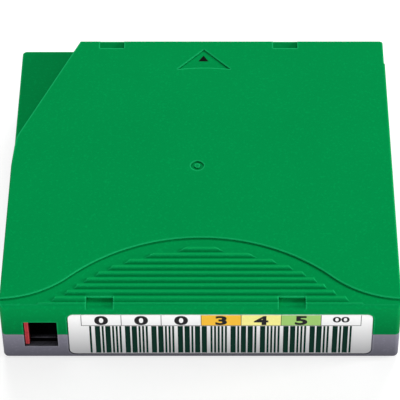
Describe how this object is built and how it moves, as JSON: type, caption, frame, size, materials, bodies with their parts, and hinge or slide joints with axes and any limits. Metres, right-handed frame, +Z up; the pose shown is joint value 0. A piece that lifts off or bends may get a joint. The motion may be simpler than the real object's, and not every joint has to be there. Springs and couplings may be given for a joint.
{
  "type": "data tape cartridge",
  "caption": "Square flat tape cartridge: green over grey plastic shells round one reel of half-inch tape, with a sprung side door, a leader pin, a reel lock and a write-protect slider.",
  "frame": {"origin": "middle of the underside", "axes": "+X across the label face to its right end, +Y the way the cartridge is pushed in (the label faces -Y), +Z up"},
  "size_m": [0.1054, 0.102, 0.0215],
  "materials": {
    "upper_shell": "fine matt grain",
    "lower_shell": "fine matt grain",
    "reel_hub": "moulded, slightly glossy",
    "reel_upper_flange": "smooth moulded",
    "reel_plate": "stamped steel",
    "tape_pack": "wound film edges",
    "tape_lead": "smooth film",
    "leader_pin": "turned steel",
    "leader_pin_clip": "moulded",
    "leader_pin_spring": "sprung steel strip",
    "brake_button": "moulded",
    "brake_spring": "spring wire",
    "release_pad": "moulded, low friction",
    "door": "moulded",
    "door_spring": "spring wire",
    "write_protect_slider": "moulded",
    "memory_board": "coated laminate",
    "memory_chip": "moulded",
    "case_screws": "plated steel",
    "barcode_label": "printed paper"
  },
  "bodies": {
    "case": {"upper_shell": "upper_shell", "lower_shell": "lower_shell", "tape_lead": "tape_lead", "leader_pin": "leader_pin", "leader_pin_clip": "leader_pin_clip", "leader_pin_spring": "leader_pin_spring", "brake_spring": "brake_spring", "door_spring": "door_spring", "memory_board": "memory_board", "memory_chip": "memory_chip", "case_screws": "case_screws", "barcode_label": "barcode_label"},
    "reel": {"reel_hub": "reel_hub", "reel_upper_flange": "reel_upper_flange", "reel_plate": "reel_plate", "tape_pack": "tape_pack"},
    "brake": {"brake_button": "brake_button"},
    "release": {"release_pad": "release_pad"},
    "door": {"door": "door"},
    "slider": {"write_protect_slider": "write_protect_slider"}
  },
  "joints": [
    {"name": "reel_spin", "type": "hinge", "parent": "case", "child": "reel", "pos_m": [-0.0012, 0, 0.0101], "axis": [0, 0, 1], "continuous": true},
    {"name": "brake_lift", "type": "slide", "parent": "case", "child": "brake", "axis": [0, 0, 1], "range_m": [0, 0.0015], "stiffness_N_per_m": 800, "springref_m": -0.004, "deforming": ["brake_spring"]},
    {"name": "pad_lift", "type": "slide", "parent": "reel", "child": "release", "axis": [0, 0, 1], "range_m": [0, 0.0015]},
    {"name": "door_slide", "type": "slide", "parent": "case", "child": "door", "axis": [0, -1, 0], "range_m": [0, 0.0155], "stiffness_N_per_m": 25, "springref_m": -0.02, "deforming": ["door_spring"]},
    {"name": "write_protect_slide", "type": "slide", "parent": "case", "child": "slider", "axis": [1, 0, 0], "range_m": [0, 0.0074]}
  ],
  "couplings": [
    {"joint": "pad_lift", "follows": "brake_lift", "ratio": 1}
  ]
}
